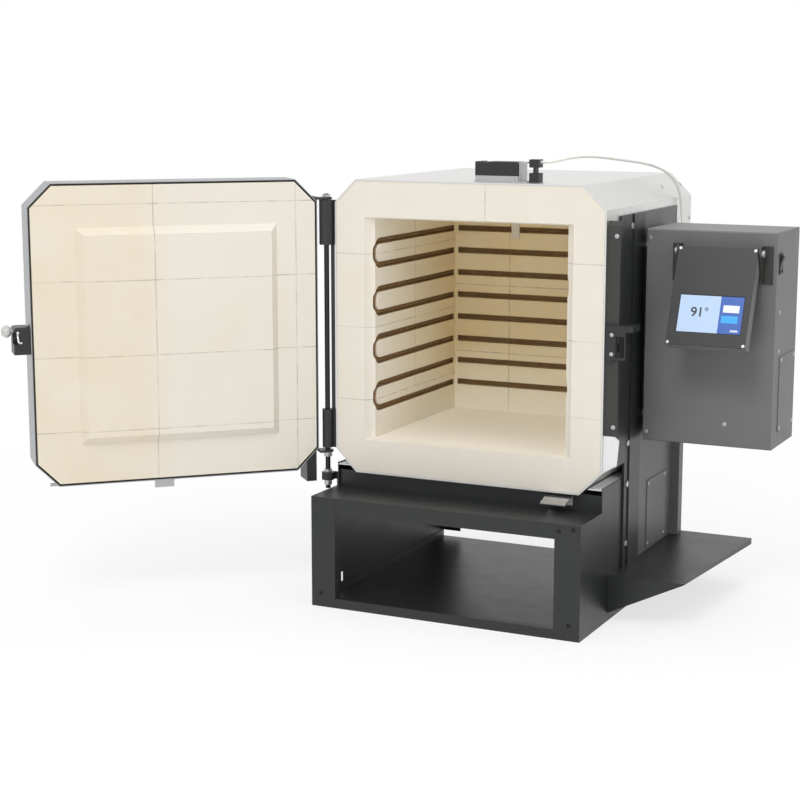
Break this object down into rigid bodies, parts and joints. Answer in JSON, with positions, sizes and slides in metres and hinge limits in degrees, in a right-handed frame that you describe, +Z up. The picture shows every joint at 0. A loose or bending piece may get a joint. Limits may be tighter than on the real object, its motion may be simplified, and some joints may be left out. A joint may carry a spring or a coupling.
{
  "type": "heat treat oven",
  "caption": "Bench heat treat oven: a brick-lined case with a side-swing door on a stand, with a control box, tilting display and side shelf.",
  "frame": {"origin": "centre of the underside of the stand", "axes": "+X to the right of the door opening, +Y from the door opening to the rear, +Z up"},
  "size_m": [1.0594, 0.7649, 0.6996],
  "materials": {
    "black_coat": "satin",
    "jacket_steel": "satin",
    "grey_coat": "satin",
    "firebrick": "matte",
    "fibre_board": "matte",
    "element_wire": "matte",
    "porcelain": "gloss",
    "bright_steel": "polished",
    "screw_steel": "satin",
    "black_plastic": "matte",
    "light_plastic": "satin",
    "screen_glass": "gloss",
    "board_green": "matte",
    "lead_white": "satin",
    "gasket_fibre": "matte"
  },
  "bodies": {
    "case": {"stand_front": "black_coat", "stand_left_side": "black_coat", "stand_right_side": "black_coat", "stand_deck": "black_coat", "stand_floor": "black_coat", "corner_strips": "jacket_steel", "side_shelf": "black_coat", "door_ramp": "bright_steel", "jacket_front": "jacket_steel", "jacket_rear": "jacket_steel", "rear_cover": "jacket_steel", "rear_insulation": "fibre_board", "left_wall_bricks": "firebrick", "right_wall_bricks": "firebrick", "roof_bricks": "firebrick", "floor_bricks": "firebrick", "back_bricks": "firebrick", "upper_element": "element_wire", "lower_element": "element_wire", "element_bushes": "porcelain", "element_terminals": "screw_steel", "thermocouple": "porcelain", "case_screws": "screw_steel", "side_rail": "black_coat", "rail_bolts": "screw_steel", "heat_shield": "grey_coat", "foot_plate": "light_plastic", "terminal_cover": "grey_coat", "access_plate": "grey_coat", "catch_body": "black_coat", "catch_plate": "screw_steel", "control_box": "grey_coat", "control_box_back": "grey_coat", "side_panel": "grey_coat", "box_spacers": "screw_steel", "relays": "black_plastic", "transformer": "screw_steel", "power_gland": "black_plastic", "rocker_bezel": "black_plastic", "display_brackets": "grey_coat", "hinge_rod": "bright_steel", "hinge_blocks": "black_coat", "hinge_collars": "screw_steel", "switch_base": "screw_steel", "door_switch": "black_plastic", "switch_lead": "lead_white"},
    "door": {"door_pan": "jacket_steel", "door_bricks": "firebrick", "door_gasket": "gasket_fibre", "door_strap": "black_coat", "door_fittings": "screw_steel", "door_foot": "black_coat", "latch_body": "black_coat"},
    "latch": {"latch_slide": "light_plastic"},
    "display": {"display_housing": "grey_coat", "display_face": "black_plastic", "screen": "screen_glass", "display_board": "board_green", "display_screws": "screw_steel"},
    "rocker": {"power_rocker": "black_plastic"}
  },
  "joints": [
    {"name": "door_swing", "type": "hinge", "parent": "case", "child": "door", "pos_m": [-0.23685, -0.161, 0.4], "axis": [0, 0, 1], "range_deg": [-24, 135.6]},
    {"name": "latch_pull", "type": "slide", "parent": "door", "child": "latch", "axis": [-0.7167, -0.6974, 0], "range_m": [0, 0.007], "stiffness_N_per_m": 400, "springref_m": -0.004},
    {"name": "display_tilt", "type": "hinge", "parent": "case", "child": "display", "pos_m": [0.354, -0.03, 0.559], "axis": [1, 0, 0], "range_deg": [-30, 22]},
    {"name": "power_switch", "type": "hinge", "parent": "case", "child": "rocker", "pos_m": [0.434, 0.0065, 0.5425], "axis": [0, 1, 0], "range_deg": [-18, 0]}
  ]
}
